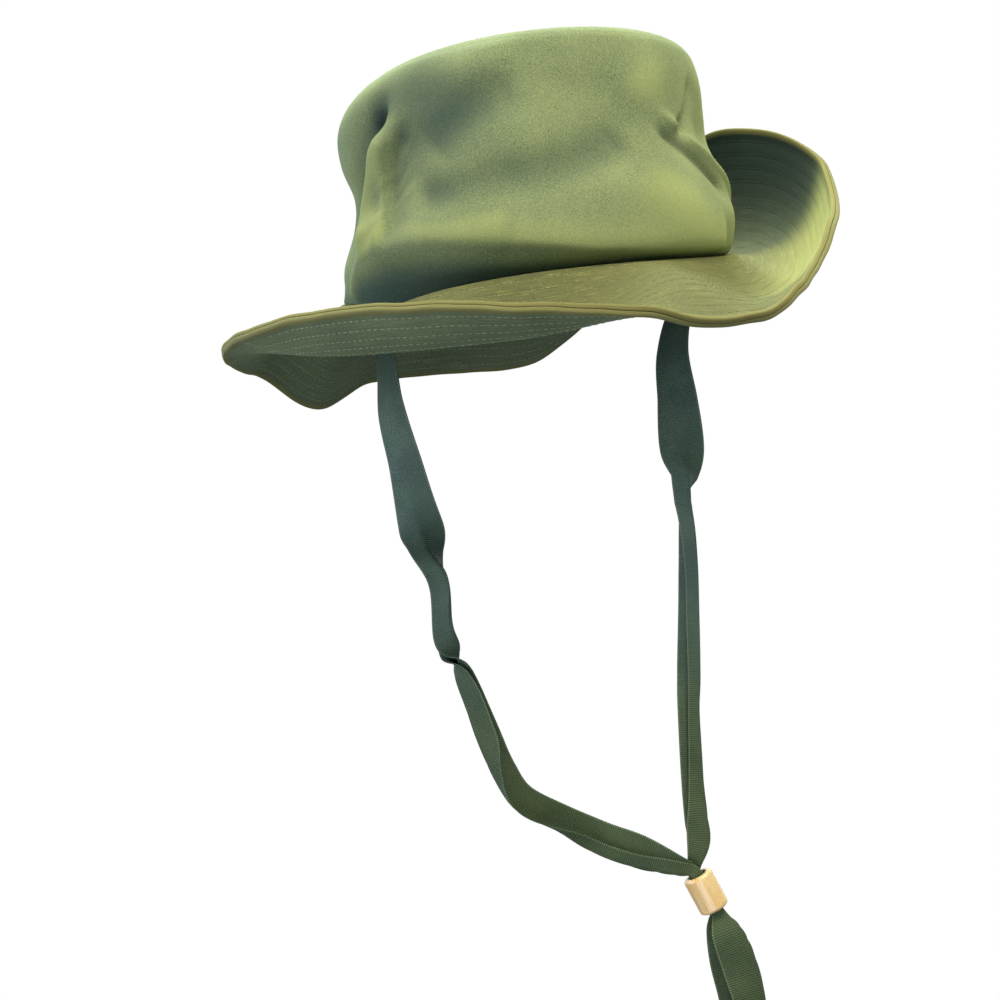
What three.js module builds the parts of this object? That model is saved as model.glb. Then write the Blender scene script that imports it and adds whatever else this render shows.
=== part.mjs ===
import * as THREE from "three";

// A soft velvet bush hat: a hollow crown, a wide two-layer brim, and a ribbon chin strap
// that runs as one loop through a turned wooden bead.
// Millimetres, +Z up, the front towards -Y, the wearer's ears on the X axis.
// The origin is the centre of the head opening.

// Sizes that drive the rest
const FULL_TURN = 2 * Math.PI;
const DEGREE = Math.PI / 180;
const STEPS_AROUND = 60;
const CLOTH = 1.6;
const GAP = 0.3;
const SHORT_TURN = 0.5;
const SHORT_STEP = 0.01;
const OPENING_HALF_WIDTH = 94.5;
const OPENING_HALF_DEPTH = 85;
const OPENING_ROLL = 7.5;
const OPENING_PITCH = 7.4;
const SEAM_OUT = 2;
const SEAM_LEDGE = 3.6;
const BRIM_STEPS = 8;
const LIP_START = 0.965;
const LIP_EXTRA = 0.7;
const CROWN_LEVELS = [0, 0.05, 0.11, 0.2, 0.31, 0.42, 0.52, 0.62, 0.72, 0.81, 0.9, 1];
const FOLD_FADE_AT_SEAM = 5;
const FOLD_FADE_AT_TIP = 7;
const TIP_STEPS = 4;
const TIP_DOME = 3.5;
const RIBBON_SIDES = 8;
const RIBBON_STEPS_PER_ROW = 2;
const BEAD_LENGTH = 17.5;
const BEAD_RADIUS = 7;
const BEAD_BORE = 4.5;
const BEAD_ROUND = 1.6;
const BORE_CHAMFER = 0.5;
const ROUND_INSET = 0.3 * BEAD_ROUND;
const BEAD_SIDES = 16;
const BEAD_PLACE = [73.8, -75, -288.4];
const BEAD_LEAN = 28.6;

// Colours of the four finishes
const VELVET = { color: 0x7f8e5c, roughness: 0.95, metalness: 0 };
const BRIM_VELVET = { color: 0x8f9357, roughness: 0.95, metalness: 0 };
const RIBBON = { color: 0x43543f, roughness: 0.8, metalness: 0 };
const WOOD = { color: 0xe0bc7c, roughness: 0.35, metalness: 0 };

// Rings of the crown's outer face, from the seam at the brim up to the tip.
// x, y, z: the ring's centre; wide, deep: its half sizes; roll: right side up; pitch: back up
const CROWN_RINGS = [
  { x: 0.0, y: 0.0, z: 0.0, wide: 95.0, deep: 85.5, roll: 7.5, pitch: 7.4 },
  { x: 0.0, y: -1.5, z: 7.0, wide: 96.3, deep: 87.5, roll: 7.7, pitch: 6.5 },
  { x: 0.0, y: -1.5, z: 18.0, wide: 96.5, deep: 88.5, roll: 8.0, pitch: 5.0 },
  { x: 0.0, y: -1.0, z: 33.0, wide: 92.0, deep: 87.5, roll: 7.0, pitch: 4.0 },
  { x: -2.0, y: -0.5, z: 47.0, wide: 89.5, deep: 85.5, roll: 5.5, pitch: 3.0 },
  { x: -7.0, y: 0.0, z: 60.0, wide: 90.0, deep: 84.0, roll: 4.0, pitch: 2.0 },
  { x: -9.0, y: 0.5, z: 74.0, wide: 90.5, deep: 82.0, roll: 3.5, pitch: 1.0 },
  { x: -8.5, y: 0.5, z: 86.0, wide: 88.5, deep: 80.0, roll: 4.5, pitch: 0.0 },
  { x: -7.0, y: 0.5, z: 95.5, wide: 83.5, deep: 77.0, roll: 6.0, pitch: -1.0 },
  { x: -5.5, y: 0.5, z: 100.3, wide: 77.5, deep: 72.5, roll: 6.6, pitch: -1.5 },
];

// Folds pressed into the crown's side wall; depth is inwards, and below zero for a ridge.
// at: degrees round from the front, right is plus; z: height; half sizes in mm; slant: degrees
const CROWN_FOLDS = [
  { at: -49, z: 69, across: 8, along: 8, slant: -25, depth: 6 },
  { at: -57, z: 42, across: 7, along: 26, slant: 35, depth: -4.2 },
  { at: -47, z: 38, across: 6, along: 22, slant: 20, depth: 3.4 },
  { at: -70, z: 46, across: 6, along: 26, slant: 50, depth: 5.4 },
  { at: -94, z: 60, across: 20, along: 22, slant: 0, depth: -1.6 },
  { at: -48, z: 20, across: 6, along: 6, slant: 20, depth: 2.2 },
  { at: -24, z: 30, across: 26, along: 12, slant: -18, depth: -1.6 },
  { at: -17, z: 62, across: 10, along: 24, slant: 62, depth: 3.6 },
  { at: -5, z: 34, across: 10, along: 46, slant: 76, depth: 3.8 },
  { at: 4, z: 3, across: 10, along: 75, slant: 88, depth: -3.8 },
  { at: 38, z: 27, across: 28, along: 17, slant: 20, depth: -4.2 },
  { at: 58, z: 73, across: 6, along: 12, slant: 25, depth: 2.6 },
  { at: 70, z: 52, across: 4, along: 30, slant: 109, depth: -2.4 },
  { at: 57, z: 49, across: 5, along: 20, slant: 113, depth: 3.8 },
  { at: 70, z: 67, across: 10, along: 13, slant: 0, depth: 2.6 },
  { at: 120, z: 52, across: 12, along: 34, slant: 20, depth: 3.6 },
  { at: 150, z: 40, across: 9, along: 40, slant: -25, depth: 3.2 },
  { at: 196, z: 34, across: 10, along: 34, slant: 30, depth: 3.4 },
  { at: 222, z: 58, across: 9, along: 30, slant: -18, depth: 3.8 },
];

// The ring halfway between the brim's two layers, just under the crown's lower edge
const BRIM_SEAM = {
  x: 0,
  y: 0,
  z: -(CLOTH + GAP + GAP / 2),
  wide: OPENING_HALF_WIDTH + SEAM_OUT,
  deep: OPENING_HALF_DEPTH + SEAM_OUT,
  roll: OPENING_ROLL,
  pitch: OPENING_PITCH,
};

// The brim's edge, seen from the seam, every row a place round the opening.
// at: degrees round from the front; reach: how far out; rise: the edge's height;
// sag: how far the cloth dips below the straight line; lean: where it dips most
const BRIM_ROWS = [
  { at: 0, reach: 66, rise: -33, sag: 16, lean: 0.52 },
  { at: 14, reach: 65, rise: -34, sag: 8, lean: 0.5 },
  { at: 26, reach: 64, rise: -38, sag: -6, lean: 0.5 },
  { at: 40, reach: 58, rise: -31, sag: 2, lean: 0.5 },
  { at: 55, reach: 48, rise: -14, sag: 14, lean: 0.5 },
  { at: 70, reach: 44, rise: 4, sag: 20, lean: 0.5 },
  { at: 80, reach: 48, rise: 24, sag: 21, lean: 0.5 },
  { at: 90, reach: 51, rise: 42, sag: 19, lean: 0.48 },
  { at: 100, reach: 52, rise: 65, sag: 17, lean: 0.46 },
  { at: 110, reach: 43, rise: 82, sag: 18, lean: 0.44 },
  { at: 120, reach: 32, rise: 89, sag: 19, lean: 0.42 },
  { at: 130, reach: 28, rise: 89, sag: 19, lean: 0.42 },
  { at: 141, reach: 34, rise: 79, sag: 19, lean: 0.42 },
  { at: 153, reach: 50, rise: 46, sag: 17, lean: 0.45 },
  { at: 166, reach: 63, rise: 3, sag: 10, lean: 0.5 },
  { at: 180, reach: 66, rise: -28, sag: -2, lean: 0.5 },
  { at: 200, reach: 64, rise: -36, sag: -8, lean: 0.5 },
  { at: 218, reach: 62, rise: -43, sag: -6, lean: 0.5 },
  { at: 234, reach: 57, rise: -60, sag: -4, lean: 0.5 },
  { at: 250, reach: 60, rise: -46, sag: -8, lean: 0.5 },
  { at: 265, reach: 58, rise: -44, sag: -2, lean: 0.5 },
  { at: 280, reach: 60, rise: -41, sag: 5, lean: 0.5 },
  { at: 300, reach: 64, rise: -37, sag: 13, lean: 0.52 },
  { at: 320, reach: 65, rise: -32, sag: 19, lean: 0.54 },
  { at: 340, reach: 66, rise: -31, sag: 20, lean: 0.54 },
];

// The ribbon's middle line, from the left ear down through the bead, round and back up.
// wide, thick: the folded ribbon's full section; face: degrees that its flat side turns
// from the front towards the right; tip: degrees that it then tips up and over
const RIBBON_ROWS = [
  { x: -90.6, y: -8, z: -1, wide: 20, thick: 1.2, face: 88, tip: 0 },
  { x: -90.0, y: -9, z: -14, wide: 20, thick: 1.2, face: 92, tip: 0 },
  { x: -77.1, y: -12, z: -37, wide: 20, thick: 1.5, face: 112, tip: 0 },
  { x: -72.6, y: -19, z: -67, wide: 20, thick: 1.8, face: 126, tip: 0 },
  { x: -65.7, y: -26, z: -93, wide: 18, thick: 2.2, face: 137, tip: 0 },
  { x: -59.0, y: -33, z: -119, wide: 20, thick: 2.2, face: 160, tip: 0 },
  { x: -53.6, y: -38, z: -135, wide: 16, thick: 2.6, face: 222, tip: 0 },
  { x: -48.6, y: -43, z: -154, wide: 10, thick: 3.4, face: 292, tip: 0 },
  { x: -45.6, y: -49, z: -176, wide: 9, thick: 3.4, face: 324, tip: 0 },
  { x: -36.1, y: -53, z: -193, wide: 10, thick: 3.2, face: 502, tip: 0 },
  { x: -25.1, y: -59, z: -219, wide: 12, thick: 3.0, face: 538, tip: 0 },
  { x: -17.2, y: -63, z: -236, wide: 12, thick: 3.0, face: 544, tip: 0 },
  { x: -8.0, y: -66, z: -248.6, wide: 11, thick: 3.0, face: 544, tip: 0 },
  { x: 9.3, y: -68, z: -257.2, wide: 12, thick: 2.8, face: 540, tip: 0 },
  { x: 26.6, y: -70, z: -265.2, wide: 13, thick: 2.6, face: 538, tip: 0 },
  { x: 44.2, y: -73, z: -270.9, wide: 12, thick: 2.8, face: 538, tip: 0 },
  { x: 59.5, y: -76.5, z: -275.6, wide: 9, thick: 3.2, face: 540, tip: 0 },
  { x: 68.8, y: -77.0, z: -279.2, wide: 6, thick: 3.3, face: 540, tip: 0 },
  { x: 73.8, y: -77.0, z: -288.4, wide: 6, thick: 3.3, face: 540, tip: 0 },
  { x: 78.6, y: -77.0, z: -297.2, wide: 6, thick: 3.2, face: 540, tip: 0 },
  { x: 82.2, y: -79.5, z: -306, wide: 13, thick: 2.4, face: 546, tip: 0 },
  { x: 87.5, y: -81, z: -320, wide: 16, thick: 2.2, face: 550, tip: 0 },
  { x: 91.2, y: -81.5, z: -336, wide: 14, thick: 2.4, face: 560, tip: 0 },
  { x: 92.0, y: -81, z: -354, wide: 14, thick: 2.2, face: 552, tip: 0 },
  { x: 91.5, y: -80.5, z: -368, wide: 15, thick: 2.0, face: 540, tip: 8 },
  { x: 91.3, y: -78.8, z: -375, wide: 15, thick: 1.8, face: 540, tip: 45 },
  { x: 91.0, y: -75.5, z: -378, wide: 15, thick: 1.8, face: 540, tip: 90 },
  { x: 90.6, y: -72.2, z: -375, wide: 15, thick: 1.8, face: 540, tip: 135 },
  { x: 90.0, y: -70.5, z: -368, wide: 15, thick: 2.0, face: 540, tip: 172 },
  { x: 88.6, y: -70, z: -354, wide: 14, thick: 2.2, face: 540, tip: 180 },
  { x: 85.5, y: -70, z: -336, wide: 14, thick: 2.4, face: 534, tip: 180 },
  { x: 81.6, y: -70.5, z: -320, wide: 12, thick: 2.6, face: 530, tip: 180 },
  { x: 79.2, y: -71.8, z: -306, wide: 9, thick: 2.8, face: 534, tip: 180 },
  { x: 78.6, y: -73.0, z: -297.2, wide: 6, thick: 3.2, face: 540, tip: 180 },
  { x: 73.8, y: -73.0, z: -288.4, wide: 6, thick: 3.3, face: 540, tip: 180 },
  { x: 68.9, y: -73.0, z: -279.2, wide: 6, thick: 3.3, face: 540, tip: 180 },
  { x: 70.8, y: -71.0, z: -265, wide: 11, thick: 3.0, face: 540, tip: 180 },
  { x: 69.3, y: -66, z: -244.5, wide: 10, thick: 3.0, face: 550, tip: 180 },
  { x: 68.2, y: -58, z: -211, wide: 9, thick: 3.2, face: 564, tip: 180 },
  { x: 68.7, y: -54, z: -193, wide: 13, thick: 2.8, face: 548, tip: 180 },
  { x: 69.3, y: -48, z: -166.5, wide: 11, thick: 3.0, face: 528, tip: 180 },
  { x: 69.8, y: -41, z: -141, wide: 11, thick: 3.0, face: 516, tip: 180 },
  { x: 69.4, y: -33, z: -110, wide: 13, thick: 2.8, face: 506, tip: 180 },
  { x: 68.6, y: -26, z: -87, wide: 18, thick: 2.2, face: 516, tip: 180 },
  { x: 66.8, y: -20, z: -63, wide: 18, thick: 1.8, face: 504, tip: 180 },
  { x: 65.0, y: -14, z: -38, wide: 19, thick: 1.6, face: 488, tip: 180 },
  { x: 71.0, y: -11, z: -14, wide: 20, thick: 1.4, face: 474, tip: 180 },
  { x: 88.0, y: -9, z: 6, wide: 20, thick: 1.2, face: 456, tip: 180 },
  { x: 91.0, y: -8, z: 20, wide: 20, thick: 1.2, face: 452, tip: 180 },
];

// A smooth value between the rows of a table that closes round the full turn
function roundTheTurn(rows, degrees, column) {
  const count = rows.length;
  const turned = ((degrees % 360) + 360) % 360;
  let first = count - 1;
  for (let i = 0; i < count; i += 1) {
    if (rows[i].at <= turned) first = i;
  }
  const row = (i) => rows[(i + count) % count];
  const place = (i) => row(i).at + 360 * Math.floor(i / count);
  const u = (turned - place(first)) / (place(first + 1) - place(first));
  const slope = (i) => (row(i + 1)[column] - row(i - 1)[column]) / (place(i + 1) - place(i - 1));
  const span = place(first + 1) - place(first);
  return hermite(row(first)[column], row(first + 1)[column], slope(first) * span, slope(first + 1) * span, u);
}

function hermite(start, end, startSlope, endSlope, u) {
  const u2 = u * u;
  const u3 = u2 * u;
  const holdStart = 2 * u3 - 3 * u2 + 1;
  const holdEnd = 3 * u2 - 2 * u3;
  return holdStart * start + holdEnd * end + (u3 - 2 * u2 + u) * startSlope + (u3 - u2) * endSlope;
}

// A smooth value between the rows of a table with two ends, at a place from 0 to rows - 1
function alongRows(rows, place, column) {
  const last = rows.length - 1;
  const first = Math.min(Math.floor(place), last - 1);
  const value = (i) => rows[Math.min(Math.max(i, 0), last)][column];
  const slope = (i) => (value(i + 1) - value(i - 1)) / 2;
  return hermite(value(first), value(first + 1), slope(first), slope(first + 1), place - first);
}

// A point of an ellipse that is rolled right side up and pitched back up
function ringPoint(ring, degrees) {
  const x = ring.wide * Math.sin(degrees * DEGREE);
  const y = -ring.deep * Math.cos(degrees * DEGREE);
  const z = x * Math.tan(ring.roll * DEGREE) + y * Math.tan(ring.pitch * DEGREE);
  return new THREE.Vector3(ring.x + x, ring.y + y, ring.z + z);
}

// The level direction that points straight out of an ellipse
function outwards(ring, degrees) {
  const x = Math.sin(degrees * DEGREE) / ring.wide;
  const y = -Math.cos(degrees * DEGREE) / ring.deep;
  return new THREE.Vector3(x, y, 0).normalize();
}

// The same direction, laid into the ring's own tilted plane
function outwardsInPlane(ring, degrees) {
  const out = outwards(ring, degrees);
  out.z = out.x * Math.tan(ring.roll * DEGREE) + out.y * Math.tan(ring.pitch * DEGREE);
  return out;
}

// How far the folds push the crown's wall in at one place
function foldDepth(degrees, height) {
  let depth = 0;
  for (const fold of CROWN_FOLDS) {
    const turned = ((degrees - fold.at + 540) % 360) - 180;
    const across = turned * DEGREE * OPENING_HALF_WIDTH;
    const along = height - fold.z;
    const c = Math.cos(fold.slant * DEGREE);
    const s = Math.sin(fold.slant * DEGREE);
    const a = (across * c - along * s) / fold.across;
    const b = (across * s + along * c) / fold.along;
    depth += fold.depth * Math.exp(-(a * a + b * b));
  }
  return depth;
}

// A point of the crown's side wall; level runs from 0 at the seam to 1 at the tip,
// and inset is the distance in from the outer face
function crownPoint(degrees, level, inset) {
  const place = level * (CROWN_RINGS.length - 1);
  const ring = {};
  for (const column of ["x", "y", "z", "wide", "deep", "roll", "pitch"]) {
    ring[column] = alongRows(CROWN_RINGS, place, column);
  }
  const point = ringPoint(ring, degrees);
  const endFade = Math.min(1, FOLD_FADE_AT_SEAM * level, FOLD_FADE_AT_TIP * (1 - level));
  const inwards = inset + foldDepth(degrees, point.z) * endFade;
  return point.addScaledVector(outwardsInPlane(ring, degrees), -inwards);
}

// A point halfway between the brim's two layers; along runs from below 0, under the crown,
// through 0 at the seam to 1 at the edge
function brimPoint(degrees, along) {
  const seam = ringPoint(BRIM_SEAM, degrees);
  const out = outwards(BRIM_SEAM, degrees);
  if (along < 0) {
    const inner = ringPoint(
      { ...BRIM_SEAM, wide: BRIM_SEAM.wide - SEAM_LEDGE, deep: BRIM_SEAM.deep - SEAM_LEDGE },
      degrees,
    );
    return seam.lerp(inner, -along);
  }
  const reach = roundTheTurn(BRIM_ROWS, degrees, "reach");
  const rise = roundTheTurn(BRIM_ROWS, degrees, "rise") - seam.z;
  const sag = roundTheTurn(BRIM_ROWS, degrees, "sag");
  const lean = roundTheTurn(BRIM_ROWS, degrees, "lean");
  const chord = Math.hypot(reach, rise);
  const dip = sag * Math.sin(Math.PI * along ** (Math.log(0.5) / Math.log(lean)));
  seam.addScaledVector(out, along * reach + (dip * rise) / chord);
  seam.z += along * rise - (dip * reach) / chord;
  return seam;
}

// A closed body from a front grid and a back grid of points, both [row][column].
// The columns close round the turn; the rows end in two rims.
function wallBetween(front, back) {
  const rows = front.length;
  const columns = front[0].length;
  const positions = [];
  for (const grid of [front, back]) {
    for (const row of grid) {
      for (const point of row) positions.push(point.x, point.y, point.z);
    }
  }
  const index = [];
  const name = (side, i, j) => side * rows * columns + i * columns + (j % columns);
  const quad = (a, b, c, d) => index.push(a, b, c, a, c, d);
  for (let j = 0; j < columns; j += 1) {
    for (let i = 0; i + 1 < rows; i += 1) {
      quad(name(0, i, j), name(0, i, j + 1), name(0, i + 1, j + 1), name(0, i + 1, j));
      quad(name(1, i, j), name(1, i + 1, j), name(1, i + 1, j + 1), name(1, i, j + 1));
    }
    quad(name(1, 0, j), name(1, 0, j + 1), name(0, 0, j + 1), name(0, 0, j));
    quad(name(0, rows - 1, j), name(0, rows - 1, j + 1), name(1, rows - 1, j + 1), name(1, rows - 1, j));
  }
  return closedGeometry(positions, index);
}

function closedGeometry(positions, index) {
  const geometry = new THREE.BufferGeometry();
  geometry.setAttribute("position", new THREE.Float32BufferAttribute(positions, 3));
  geometry.setIndex(index);
  geometry.computeVertexNormals();
  return geometry;
}

function turnsRound() {
  return Array.from({ length: STEPS_AROUND }, (_, j) => (360 * j) / STEPS_AROUND);
}

// The crown's side wall, from the seam to the tip
function crownSide() {
  const face = (inset) => CROWN_LEVELS.map(
    (level) => turnsRound().map((degrees) => crownPoint(degrees, level, inset)),
  );
  return wallBetween(face(0), face(CLOTH));
}

// The crown's tip: a shallow dome whose rim lies on the side wall's upper end
function crownTip() {
  const last = CROWN_RINGS[CROWN_RINGS.length - 1];
  const positions = [];
  const index = [];
  const sheets = [CLOTH + GAP, GAP];
  for (const lift of sheets) {
    for (let i = 1; i <= TIP_STEPS; i += 1) {
      const part = i / TIP_STEPS;
      const ring = { ...last, wide: last.wide * part, deep: last.deep * part };
      for (const t of turnsRound()) {
        const point = ringPoint(ring, t);
        const dome = TIP_DOME * (1 - part * part);
        positions.push(point.x, point.y, point.z + lift + dome);
      }
    }
  }
  const perSheet = TIP_STEPS * STEPS_AROUND;
  const poles = sheets.map((lift) => {
    positions.push(last.x, last.y, last.z + lift + TIP_DOME);
    return positions.length / 3 - 1;
  });
  const name = (sheet, i, j) => sheet * perSheet + (i - 1) * STEPS_AROUND + (j % STEPS_AROUND);
  for (let j = 0; j < STEPS_AROUND; j += 1) {
    index.push(poles[0], name(0, 1, j), name(0, 1, j + 1));
    index.push(poles[1], name(1, 1, j + 1), name(1, 1, j));
    for (let i = 1; i < TIP_STEPS; i += 1) {
      index.push(name(0, i, j), name(0, i + 1, j), name(0, i + 1, j + 1));
      index.push(name(0, i, j), name(0, i + 1, j + 1), name(0, i, j + 1));
      index.push(name(1, i, j), name(1, i + 1, j + 1), name(1, i + 1, j));
      index.push(name(1, i, j), name(1, i, j + 1), name(1, i + 1, j + 1));
    }
    index.push(name(0, TIP_STEPS, j), name(1, TIP_STEPS, j), name(1, TIP_STEPS, j + 1));
    index.push(name(0, TIP_STEPS, j), name(1, TIP_STEPS, j + 1), name(0, TIP_STEPS, j + 1));
  }
  return closedGeometry(positions, index);
}

// One layer of the brim: side 1 is the upper layer, side -1 the lower one
function brimLayer(side) {
  const places = [-1, 0];
  for (let i = 1; i < BRIM_STEPS; i += 1) places.push(i / BRIM_STEPS);
  places.push(LIP_START, 1);
  const facing = (degrees, along) => {
    const before = brimPoint(degrees - SHORT_TURN, along);
    const round = brimPoint(degrees + SHORT_TURN, along).sub(before);
    const inner = brimPoint(degrees, Math.max(along - SHORT_STEP, 0));
    const out = brimPoint(degrees, Math.min(along + SHORT_STEP, 1)).sub(inner);
    return out.cross(round).normalize();
  };
  const sheet = (lift) => places.map((along) => turnsRound().map((degrees) => {
    const normal = along <= 0 ? ledgeNormal() : facing(degrees, along);
    return brimPoint(degrees, along).addScaledVector(normal, side * lift(along));
  }));
  const near = sheet(() => GAP / 2);
  const far = sheet((along) => GAP / 2 + CLOTH + (along >= LIP_START ? LIP_EXTRA : 0));
  return side > 0 ? wallBetween(near, far) : wallBetween(far, near);
}

// The direction straight out of the head opening's plane
function ledgeNormal() {
  return new THREE.Vector3(
    -Math.tan(OPENING_ROLL * DEGREE),
    -Math.tan(OPENING_PITCH * DEGREE),
    1,
  ).normalize();
}

// The chin strap: an eight-sided flat section swept along the ribbon's rows
function chinStrap() {
  const last = RIBBON_ROWS.length - 1;
  const steps = last * RIBBON_STEPS_PER_ROW;
  const middle = (place) => new THREE.Vector3(
    alongRows(RIBBON_ROWS, place, "x"),
    alongRows(RIBBON_ROWS, place, "y"),
    alongRows(RIBBON_ROWS, place, "z"),
  );
  const positions = [];
  for (let i = 0; i <= steps; i += 1) {
    const place = i / RIBBON_STEPS_PER_ROW;
    const behind = middle(Math.max(place - SHORT_STEP, 0));
    const ahead = middle(Math.min(place + SHORT_STEP, last)).sub(behind);
    ahead.normalize();
    const face = alongRows(RIBBON_ROWS, place, "face") * DEGREE;
    const tip = alongRows(RIBBON_ROWS, place, "tip") * DEGREE;
    const level = Math.cos(tip);
    const flatNormal = new THREE.Vector3(
      Math.sin(face) * level,
      -Math.cos(face) * level,
      Math.sin(tip),
    );
    const across = ahead.clone().cross(flatNormal).normalize();
    const through = across.clone().cross(ahead).normalize();
    const halfWide = alongRows(RIBBON_ROWS, place, "wide") / 2;
    const halfThick = alongRows(RIBBON_ROWS, place, "thick") / 2;
    for (let k = 0; k < RIBBON_SIDES; k += 1) {
      const angle = (FULL_TURN * (k + 0.5)) / RIBBON_SIDES;
      const point = middle(place);
      point.addScaledVector(across, halfWide * Math.cos(angle));
      point.addScaledVector(through, halfThick * Math.sin(angle));
      positions.push(point.x, point.y, point.z);
    }
  }
  const index = [];
  const name = (i, k) => i * RIBBON_SIDES + (k % RIBBON_SIDES);
  for (let i = 0; i < steps; i += 1) {
    for (let k = 0; k < RIBBON_SIDES; k += 1) {
      index.push(name(i, k), name(i + 1, k + 1), name(i, k + 1));
      index.push(name(i, k), name(i + 1, k), name(i + 1, k + 1));
    }
  }
  for (let k = 1; k + 1 < RIBBON_SIDES; k += 1) {
    index.push(name(0, 0), name(0, k), name(0, k + 1));
    index.push(name(steps, 0), name(steps, k + 1), name(steps, k));
  }
  return closedGeometry(positions, index);
}

// The bead: a short barrel with rounded ends and a bore for both strands
function bead() {
  const half = BEAD_LENGTH / 2;
  const outline = [
    [BEAD_BORE, -half + BORE_CHAMFER],
    [BEAD_BORE + BORE_CHAMFER, -half],
    [BEAD_RADIUS - BEAD_ROUND, -half],
    [BEAD_RADIUS - ROUND_INSET, -half + ROUND_INSET],
    [BEAD_RADIUS, -half + BEAD_ROUND],
    [BEAD_RADIUS, half - BEAD_ROUND],
    [BEAD_RADIUS - ROUND_INSET, half - ROUND_INSET],
    [BEAD_RADIUS - BEAD_ROUND, half],
    [BEAD_BORE + BORE_CHAMFER, half],
    [BEAD_BORE, half - BORE_CHAMFER],
    [BEAD_BORE, -half + BORE_CHAMFER],
  ].map(([radius, height]) => new THREE.Vector2(radius, height));
  const geometry = new THREE.LatheGeometry(outline, BEAD_SIDES);
  geometry.rotateX(90 * DEGREE);
  return geometry;
}

function piece(name, geometry, finish) {
  const mesh = new THREE.Mesh(geometry, new THREE.MeshStandardMaterial(finish));
  mesh.name = name;
  return mesh;
}

const hat = new THREE.Group();
hat.add(piece("crown_side", crownSide(), VELVET));
hat.add(piece("crown_tip", crownTip(), VELVET));
hat.add(piece("brim_top", brimLayer(1), BRIM_VELVET));
hat.add(piece("brim_under", brimLayer(-1), BRIM_VELVET));
hat.add(piece("chin_strap", chinStrap(), RIBBON));

const strapBead = piece("strap_bead", bead(), WOOD);
strapBead.position.set(...BEAD_PLACE);
strapBead.rotation.y = -BEAD_LEAN * DEGREE;
hat.add(strapBead);

export default hat;
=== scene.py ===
# %% [markdown]
# A soft velvet bush hat with a ribbon chin strap
# The hat is cut from flat cloth: a side wall, a round tip, and a brim of two layers that are
# sewn together with rows of thread. The lesson does the same. Each cloth part is first made
# flat and regular, with ordinary modelling tools, and then bent to its place on the hat by one
# rule for the crown and one for the brim. The thread, which lies on the brim, is bent by the
# same rule, so it can't leave the cloth.

# %% Load the frame
import math

import bpy
import numpy as np
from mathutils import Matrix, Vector


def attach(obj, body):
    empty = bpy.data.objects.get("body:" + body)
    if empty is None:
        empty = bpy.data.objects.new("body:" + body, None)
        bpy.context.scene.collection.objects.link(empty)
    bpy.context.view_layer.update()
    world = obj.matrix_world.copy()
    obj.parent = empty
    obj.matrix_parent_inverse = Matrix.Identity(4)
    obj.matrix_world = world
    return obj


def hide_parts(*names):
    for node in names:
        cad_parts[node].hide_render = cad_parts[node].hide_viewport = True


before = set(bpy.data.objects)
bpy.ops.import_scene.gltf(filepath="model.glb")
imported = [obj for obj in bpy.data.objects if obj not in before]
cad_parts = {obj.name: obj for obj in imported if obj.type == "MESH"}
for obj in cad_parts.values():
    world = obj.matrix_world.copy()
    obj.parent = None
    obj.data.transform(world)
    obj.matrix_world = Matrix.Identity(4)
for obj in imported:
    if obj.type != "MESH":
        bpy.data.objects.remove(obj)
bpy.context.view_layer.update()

MM = 0.001

# %% [markdown]
# The camera
# The hat is seen from the front and a little below, from arm's length. The camera comes first,
# because every fold is judged from there.

# %% Place the camera
CAMERA_PLACE = (-0.0195, -0.8, -0.111)
CAMERA_LENS = 57.6

bpy.ops.object.select_all(action="DESELECT")
bpy.ops.object.camera_add(location=CAMERA_PLACE, rotation=(math.radians(90), 0, 0))
camera = bpy.context.object
camera.data.lens = CAMERA_LENS
camera.data.sensor_width = 36
camera.data.clip_start = 0.01
bpy.context.scene.camera = camera
print("camera", [round(v, 3) for v in camera.location])

# %% [markdown]
# Reading a short table as a smooth curve
# The hat's shape changes slowly round the head. A short table holds a row for each place that
# matters, and a smooth curve through the rows gives every place between. The same curve serves
# rows that close round the hat and rows that have two ends. A place round the hat is in degrees:
# 0 is the front, and 90 is the right side of the picture.

# %% Smooth values from short tables
def smooth(places, values, wanted):
    """A curve through the values that passes every row without a kink."""
    places = np.asarray(places, float)
    values = np.asarray(values, float)
    slopes = np.gradient(values) / np.gradient(places)
    first = np.clip(np.searchsorted(places, wanted, side="right") - 1, 0, len(places) - 2)
    span = places[first + 1] - places[first]
    u = (wanted - places[first]) / span
    start, end = values[first], values[first + 1]
    pull_start, pull_end = slopes[first] * span, slopes[first + 1] * span
    hold_end = u * u * (3 - 2 * u)
    pulls = u * (1 - u) ** 2 * pull_start - u * u * (1 - u) * pull_end
    return start * (1 - hold_end) + end * hold_end + pulls


def round_the_hat(rows, column, degrees):
    """The same, for rows of (place, ...) that close after a full turn."""
    table = np.array(rows, float)
    places = np.concatenate([table[-3:, 0] - 360, table[:, 0], table[:3, 0] + 360])
    values = np.concatenate([table[-3:, column], table[:, column], table[:3, column]])
    return smooth(places, values, np.mod(degrees, 360))


# %% [markdown]
# The crown's shape
# A ring of the crown is an ellipse that leans a little. Ten rings, from the seam at the brim up
# to the tip, give the soft body of the crown, which narrows, swells and narrows again because
# nothing stiff holds it up.

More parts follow.
